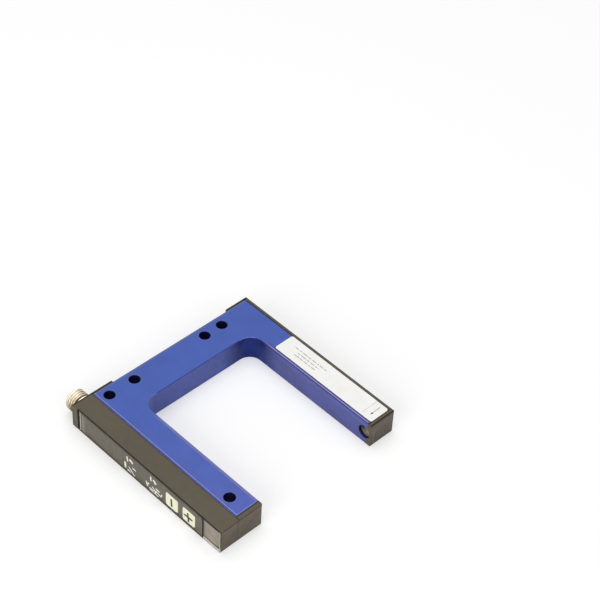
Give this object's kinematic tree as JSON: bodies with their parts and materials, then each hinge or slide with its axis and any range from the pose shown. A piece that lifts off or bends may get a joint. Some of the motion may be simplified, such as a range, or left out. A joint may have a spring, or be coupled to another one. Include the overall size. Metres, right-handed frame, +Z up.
{
  "type": "fork sensor",
  "caption": "Through-beam fork sensor: metal U with optics at its tips, a plastic control side with two push keys and a round threaded connector.",
  "frame": {"origin": "centre of the bounding box, on the bottom face", "axes": "+X from the bridge to the tips of the fork, +Y from the control side to the receiver side, +Z up, across the flat fork"},
  "size_m": [0.0796, 0.0794, 0.0101],
  "materials": {
    "blue_metal": "blue coating, satin",
    "dark_plastic": "fine moulded grain",
    "panel_plastic": "satin",
    "seal_rubber": "matt",
    "smoke_plastic": "smoky translucent",
    "key_plastic": "smooth satin",
    "optic_window": "clear with a brown tint",
    "lens_glass": "polished",
    "black_plastic": "matt",
    "switch_plastic": "satin",
    "plunger_plastic": "satin",
    "circuit_board": "green lacquer",
    "diode_resin": "dark tinted resin",
    "lamp_resin": "pale resin",
    "cable_sheath": "satin",
    "nickel_brass": "nickel plated, bright",
    "contact_metal": "gold plated",
    "label_film": "satin film"
  },
  "bodies": {
    "sensor": {"fork_frame": "blue_metal", "control_housing": "dark_plastic", "receiver_cover": "dark_plastic", "control_panel": "panel_plastic", "panel_seal": "seal_rubber", "connector_gasket": "seal_rubber", "indicator_window": "smoke_plastic", "emitter_window": "optic_window", "receiver_window": "optic_window", "emitter_lens": "lens_glass", "receiver_lens": "lens_glass", "emitter_tube": "black_plastic", "receiver_tube": "black_plastic", "connector_insert": "black_plastic", "microcontroller": "black_plastic", "output_driver": "black_plastic", "receiver_amplifier": "black_plastic", "minus_switch": "switch_plastic", "plus_switch": "switch_plastic", "main_board": "circuit_board", "receiver_board": "circuit_board", "emitter_led": "diode_resin", "receiver_photodiode": "diode_resin", "power_led": "lamp_resin", "output_led": "lamp_resin", "link_cable": "cable_sheath", "connector_shell": "nickel_brass", "contact_pin_1": "contact_metal", "contact_pin_2": "contact_metal", "contact_pin_3": "contact_metal", "contact_pin_4": "contact_metal", "label": "label_film"},
    "minus_key": {"minus_button": "key_plastic", "minus_switch_plunger": "plunger_plastic"},
    "plus_key": {"plus_button": "key_plastic", "plus_switch_plunger": "plunger_plastic"}
  },
  "joints": [
    {"name": "minus_key_travel", "type": "slide", "parent": "sensor", "child": "minus_key", "axis": [0, 1, 0], "range_m": [0, 0.00025], "stiffness_N_per_m": 1500, "springref_m": -0.0001},
    {"name": "plus_key_travel", "type": "slide", "parent": "sensor", "child": "plus_key", "axis": [0, 1, 0], "range_m": [0, 0.00025], "stiffness_N_per_m": 1500, "springref_m": -0.0001}
  ]
}
